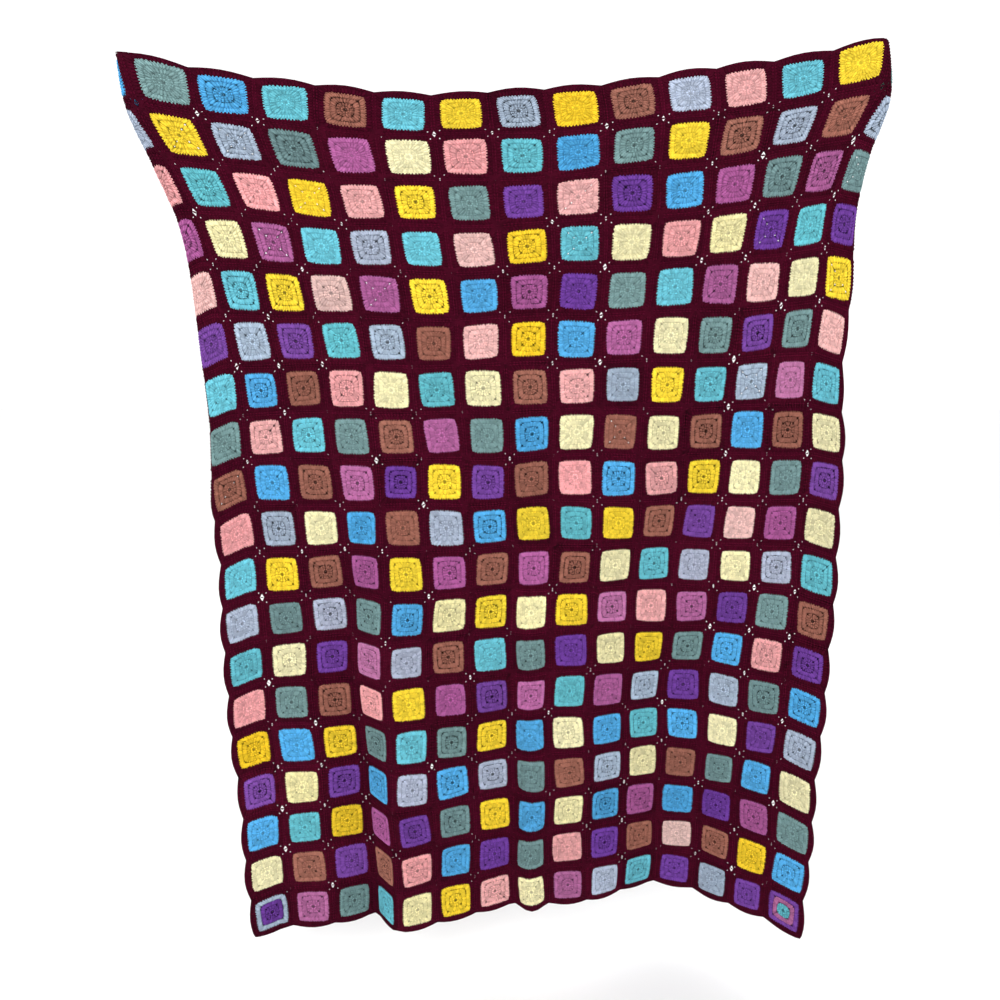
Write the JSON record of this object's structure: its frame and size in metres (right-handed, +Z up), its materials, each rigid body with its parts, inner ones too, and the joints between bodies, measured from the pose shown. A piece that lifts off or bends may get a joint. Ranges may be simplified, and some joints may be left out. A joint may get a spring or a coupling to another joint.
{
  "type": "granny square blanket",
  "caption": "Crocheted throw of small multicoloured squares joined in dark yarn, hanging by its two top corners in soft folds, for bedding or a sofa.",
  "frame": {"origin": "middle of the blanket's top edge, on the middle surface of the cloth", "axes": "+Z up; the front faces -Y; +X is to the right seen from the front"},
  "size_m": [1.6123, 0.2126, 2.0132],
  "materials": {
    "wine_yarn": "dark wine red wool yarn, matt, crocheted",
    "yellow_yarn": "warm yellow wool yarn, matt, crocheted",
    "cream_yarn": "cream wool yarn, matt, crocheted",
    "turquoise_yarn": "pale turquoise wool yarn, matt, crocheted",
    "sky_blue_yarn": "sky blue wool yarn, matt, crocheted",
    "grey_blue_yarn": "pale grey blue wool yarn, matt, crocheted",
    "sage_yarn": "dull sage green wool yarn, matt, crocheted",
    "brown_yarn": "reddish brown wool yarn, matt, crocheted",
    "orchid_yarn": "orchid pink wool yarn, matt, crocheted",
    "violet_yarn": "deep violet wool yarn, matt, crocheted",
    "pink_yarn": "salmon pink wool yarn, matt, crocheted"
  },
  "bodies": {
    "root": {"blanket": "wine_yarn"}
  },
  "joints": []
}
